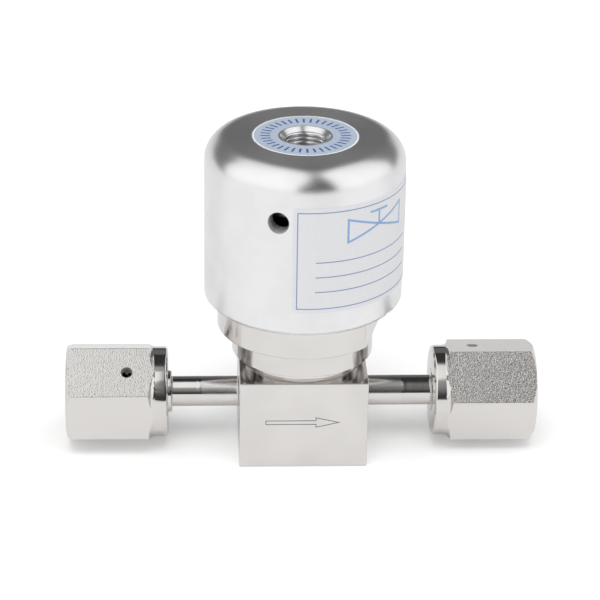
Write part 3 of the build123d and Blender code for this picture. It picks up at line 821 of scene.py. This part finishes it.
class VALVE_OT_side_label(bpy.types.Operator):
    """Model the film on the cap's side, with its border, ruled lines and valve symbol"""
    bl_idname = "valve.side_label"
    bl_label = "Side label"

    def execute(self, context):
        sizes = context.scene.valve_sizes
        width = LABEL_RADIUS * sizes.label_arc
        low, high = sizes.label_low, sizes.label_high
        corners = [Vector((x, 0, z)) for x, z in (
            (-width / 2, low), (width / 2, low), (width / 2, high), (-width / 2, high))]
        film = draw_chain("label_film", corners)
        bpy.ops.mesh.bevel(offset=sizes.label_corner, segments=6, affect="VERTICES")
        bpy.ops.mesh.select_all(action="SELECT")
        bpy.ops.mesh.edge_face_add()
        bpy.ops.mesh.extrude_region_move(TRANSFORM_OT_translate={"value": (0, -SHEET, 0)})
        slice_sheet(film, width)
        bpy.ops.mesh.select_all(action="SELECT")
        bpy.ops.mesh.normals_make_consistent(inside=False)
        close_mesh()
        wrap_round_cap(film, sizes.label_bearing)
        finish_piece(film, FINISHES["side_film"], replaces=["side_label"])

        right = (width / 2 - sizes.label_margin) / MM
        left, bottom, top = -right, (low + sizes.label_margin) / MM, (high - sizes.label_margin) / MM
        lines = [((left, bottom), (right, bottom)), ((right, bottom), (right, top)),
                 ((right, top), (left, top)), ((left, top), (left, bottom))]
        rule, first_rule, spacing = 12.4, 43.4, 3.2
        for height in (first_rule, first_rule + spacing, first_rule + 2 * spacing):
            lines.append(((-rule, height), (rule, height)))
        print_round_cap("label_lines", lines, sizes.label_line / MM, sizes, FINISHES["label_ink"])

        start, middle, end, foot, head, handle = -5.9, 1.6, 9.1, 53.6, 58.4, 59.0
        symbol = [((start, foot), (start, head)), ((start, head), (end, foot)), ((end, foot), (end, head)),
                  ((end, head), (start, foot)), ((middle, (foot + head) / 2), (middle, handle)),
                  ((middle - 2.2, handle), (middle + 2.2, handle))]
        print_round_cap("label_symbol", symbol, sizes.mark_line / MM, sizes, FINISHES["label_mark"])
        return {"FINISHED"}


class VALVE_OT_tube_ends(bpy.types.Operator):
    """Model the polished tube ends with their hubs, sealing beads and welds"""
    bl_idname = "valve.tube_ends"
    bl_label = "Tube ends"

    def execute(self, context):
        sizes = context.scene.valve_sizes
        start, face = GLAND_LOW.x / MM, (GLAND_HIGH.x - 0.35 * MM) / MM
        tube, bore = sizes.tube_radius / MM, sizes.tube_bore / MM
        shoulder = (NUT_LOW.x + sizes.nut_wall) / MM + 0.05
        for side, name in ((-1, "inlet"), (1, "outlet")):
            end = lathe(f"{name}_tube_end", (
                (start, bore, 0), (start, tube, 0), (27.2, tube, 0.25), (27.2, 4.375, 0.45), (shoulder, 4.375, 0),
                (shoulder, 6.2, 0.2), (face, 6.2, 0.3), (face, 4.45, 0), (face + 0.35, 4.45, 0.33),
                (face + 0.35, 3.75, 0.33), (face, 3.75, 0), (face, bore, 0.15)), tube_axis(side), 128)
            finish_piece(end, FINISHES["bright_steel"], replaces=[f"{name}_gland"])
            weld = sizes.stub_end / MM
            bead = lathe(f"{name}_weld", (
                (weld - 0.55, tube - 0.2, 0), (weld - 0.5, tube + 0.002, 0), (weld, tube + 0.014, 0.4),
                (weld + 0.5, tube + 0.002, 0), (weld + 0.55, tube - 0.2, 0)), tube_axis(side), 128)
            finish_piece(bead, FINISHES["bright_steel"])
        return {"FINISHED"}


class VALVE_OT_nuts(bpy.types.Operator):
    """Model the two hexagon nuts with their collars, threads and test holes"""
    bl_idname = "valve.nuts"
    bl_label = "Nuts"

    def execute(self, context):
        sizes = context.scene.valve_sizes
        back, front = NUT_LOW.x / MM, NUT_HIGH.x / MM
        collar = sizes.nut_collar / MM
        corner = sizes.nut_flats / MM / sqrt(3)
        cove, wall = sizes.nut_cove / MM, (NUT_LOW.x + sizes.nut_wall) / MM
        crest = sizes.nut_thread / MM
        rows = (
            (-1, "inlet", sizes.inlet_corner, pi / 6, sizes.inlet_hole / MM, back,
             back + sizes.inlet_collar / MM, front + sizes.inlet_mouth / MM),
            (1, "outlet", sizes.outlet_corner, -pi / 6, sizes.outlet_hole / MM, back - sizes.outlet_back / MM,
             back + sizes.outlet_collar / MM, front))
        for side, name, up, flat, inward, rear, start, end in rows:
            hole = up + flat
            axis = tube_axis(side)
            thread = Thread(crest, end - 10.9, end - 0.82, sizes.nut_pitch / MM, 0.76)
            nut = new_piece(f"{name}_hexagon", bpy.ops.mesh.primitive_cylinder_add, vertices=6,
                            radius=corner * MM, depth=(end - start + 1) * MM)
            open_mesh(nut)
            bpy.ops.mesh.select_mode(type="EDGE")
            mesh = bmesh.from_edit_mesh(nut.data)
            for edge in mesh.edges:
                first, second = (vertex.co for vertex in edge.verts)
                edge.select = abs(first.z - second.z) > MM
            mesh.select_flush_mode()
            bmesh.update_edit_mesh(nut.data)
            bpy.ops.mesh.bevel(offset=0.14 * MM, segments=3, affect="EDGES")
            close_mesh()
            nut.data.materials.append(FINISHES[f"{name}_grain"])
            middle = side * (start + end + 1) / 2 * MM
            place(nut, Matrix.Translation((middle, 0, TUBE_Z)) @ Matrix.Rotation(up - pi / 6, 4, "X")
                  @ Matrix.Rotation(pi / 2, 4, "Y"))
            clear = corner + 2
            envelope = lathe("envelope", (
                (start - 2, 0, 0), (start - 2, collar, 0), (start + cove, collar, cove), (start + cove, clear, 0),
                (start + 6, clear, 0), (end - 1.1, corner + 0.02, 0.2), (end, 9.35, 0.25), (end, 0, 0)), axis, 128)
            envelope.data.materials.append(FINISHES["turned_nut_steel"])
            combine(nut, envelope, "INTERSECT")
            barrel = lathe("barrel", (
                (rear, 0, 0), (rear, collar, 0.7), (start + 1, collar, 0), (start + 1, 0, 0)), axis, 128)
            barrel.data.materials.append(FINISHES["turned_nut_steel"])
            combine(nut, barrel, "UNION")
            bore = lathe("bore", (
                (rear - 1, 0, 0), (rear - 1, 4.43, 0), (wall, 4.43, 0), (wall, 7.2, 0.3),
                (thread.low - 0.82, 7.2, 0), (thread.low, crest, 0), (thread.high, crest, 0), (end, 7.2, 0),
                (end + 1, 7.2, 0), (end + 1, 0, 0)), axis, 96, thread)
            cut_thread(bore, axis, thread, 1)
            bore.data.materials.append(FINISHES["turned_nut_steel"])
            combine(nut, bore)
            centre = Vector((side * (front - inward) * MM, 0, TUBE_Z))
            hole_axis = TurningAxis(centre, Vector((0, -sin(hole), cos(hole))), Vector((1, 0, 0)))
            reach, radius = corner + 3, sizes.hole_radius / MM
            drill = lathe("drill", (
                (-reach, 0, 0), (-reach, radius, 0), (reach, radius, 0), (reach, 0, 0)), hole_axis, 48)
            drill.data.materials.append(FINISHES["drilled_steel"])
            combine(nut, drill)
            nut.name = nut.data.name = f"{name}_nut_shell"
            finish_piece(nut, body=f"{name}_nut_body", replaces=[f"{name}_nut"])
        return {"FINISHED"}


class VALVE_OT_stage(bpy.types.Operator):
    """Set up the floor, the studio round the valve and the camera"""
    bl_idname = "valve.stage"
    bl_label = "Stage"

    def execute(self, context):
        colours, studio = context.scene.valve_colours, context.scene.valve_studio
        floor = new_piece("floor", bpy.ops.mesh.primitive_plane_add, size=6, location=(0, 0, -0.02 * MM))
        material = bpy.data.materials.new("floor")
        material.use_nodes = True
        material.node_tree.nodes.clear()
        graph = Signal(material.node_tree)
        seen = graph.node("ShaderNodeLightPath", output=0)
        gloss = graph.node("ShaderNodeLightPath", output=3)
        _, depth, _ = graph.node("ShaderNodeTexCoord", output=3).split()
        # Floor glow: white for the camera, and for reflections only a painted pool of light on the front half of the
        # floor
        white_and_painted_glow = graph.math("MAXIMUM", seen * 0.25, gloss * depth.step(0.06, 0.0) * 0.12)
        matt = graph.node("ShaderNodeBsdfDiffuse", (), {"Color": rgba(colours.floor)})
        glow = graph.node("ShaderNodeEmission", (), {"Strength": white_and_painted_glow})
        both = graph.node("ShaderNodeAddShader", (), {0: matt, 1: glow})
        graph.node("ShaderNodeOutputMaterial", (), {"Surface": both})
        floor.data.materials.append(material)

        context.scene.world = make_studio()
        key = bpy.data.lights.new("key_light", "SUN")
        key.energy, key.angle = studio.key_power, studio.key_spread
        lamp = bpy.data.objects.new("key_light", key)
        lamp.visible_glossy = False
        lamp.rotation_euler = (studio.key_tilt, 0, 0)
        context.scene.collection.objects.link(lamp)

        azimuth, elevation, roll = studio.view_azimuth, studio.view_elevation, studio.view_roll
        back = Vector((sin(azimuth) * cos(elevation), -cos(azimuth) * cos(elevation), sin(elevation)))
        right = Vector((cos(azimuth), sin(azimuth), 0))
        up = back.cross(right)
        across = cos(roll) * right + sin(roll) * up
        above = cos(roll) * up - sin(roll) * right
        lens = bpy.data.cameras.new("camera")
        lens.sensor_fit, lens.sensor_width, lens.lens = "HORIZONTAL", 36, studio.view_lens
        lens.clip_start = 0.01
        camera = bpy.data.objects.new("camera", lens)
        context.scene.collection.objects.link(camera)
        target = Vector((-studio.view_left, 0, studio.view_height))
        turned = Matrix((across, above, back)).transposed().to_4x4()
        camera.matrix_world = Matrix.Translation(target + back * studio.view_distance) @ turned
        context.scene.camera = camera
        context.scene.view_settings.view_transform = "Standard"
        return {"FINISHED"}


def make_studio():
    """Two broad soft boxes with a dark gap between them over the valve, and a dark window behind it."""
    world = bpy.data.worlds.new("studio")
    world.use_nodes = True
    world.node_tree.nodes.clear()
    graph = Signal(world.node_tree)
    x, y, z = graph.node("ShaderNodeTexCoord", output=0).split()
    front, rear = graph.math("MINIMUM", y, 0.0), graph.math("MAXIMUM", y, 0.0)
    past_left = x - 0.045 + rear * 0.3 - graph.math("MINIMUM", y + 0.55, 0.0) * 0.5
    past_right = x - 0.17 - front * front * 0.57 - rear * 0.1
    gap = past_left.step(-0.04, 0.04) * past_right.step(0.05, -0.05) * (z - rear * 0.14).step(-0.03, 0.06)
    dusk = x.step(0.2, -0.1) * z.step(0.1, 0.7) * front.step(0.0, -0.4) * 0.45 + 0.04
    window = (y - z * 0.25 - x * 0.08).step(0.24, 0.33) * z.step(0.74, 0.67) * (z + x * x * 0.3).step(0.28, 0.35)
    level = 0.82 + z.step(0.0, 0.15) * (1 - rear * 1.4) * 0.34
    for dark, tone in ((gap, dusk), (window, 0.16)):
        level = level * (1 - dark) + dark * tone
    seen = graph.node("ShaderNodeLightPath", output=0)
    glow = graph.node("ShaderNodeBackground", (), {
        "Color": (1, 1, 1, 1), "Strength": graph.math("MAXIMUM", seen, level)})
    graph.node("ShaderNodeOutputWorld", (), {"Surface": glow})
    return world


class VALVE_PT_pieces(bpy.types.Panel):
    """Lists the pieces of the valve"""
    bl_label = "Diaphragm valve"
    bl_idname = "VALVE_PT_pieces"
    bl_space_type = "VIEW_3D"
    bl_region_type = "UI"
    bl_category = "Valve"

    def draw(self, context):
        for operator in OPERATORS:
            self.layout.operator(operator.bl_idname)


OPERATORS = (
    VALVE_OT_finishes, VALVE_OT_stage, VALVE_OT_block, VALVE_OT_arrow, VALVE_OT_rings, VALVE_OT_cap, VALVE_OT_springs,
    VALVE_OT_port_label, VALVE_OT_side_label, VALVE_OT_tube_ends, VALVE_OT_nuts)
CLASSES = (ValveSizes, ValveColours, ValveStudio, *OPERATORS, VALVE_PT_pieces)


def register():
    for item in CLASSES:
        bpy.utils.register_class(item)
    bpy.types.Scene.valve_sizes = PointerProperty(type=ValveSizes)
    bpy.types.Scene.valve_colours = PointerProperty(type=ValveColours)
    bpy.types.Scene.valve_studio = PointerProperty(type=ValveStudio)


def unregister():
    del bpy.types.Scene.valve_studio
    del bpy.types.Scene.valve_colours
    del bpy.types.Scene.valve_sizes
    for item in reversed(CLASSES):
        bpy.utils.unregister_class(item)


def main():
    register()
    bpy.ops.valve.finishes()
    bpy.ops.valve.stage()
    bpy.ops.valve.block()
    bpy.ops.valve.arrow()
    bpy.ops.valve.rings()
    bpy.ops.valve.cap()
    bpy.ops.valve.springs()
    bpy.ops.valve.port_label()
    bpy.ops.valve.side_label()
    bpy.ops.valve.tube_ends()
    bpy.ops.valve.nuts()


if __name__ == "__main__":
    main()
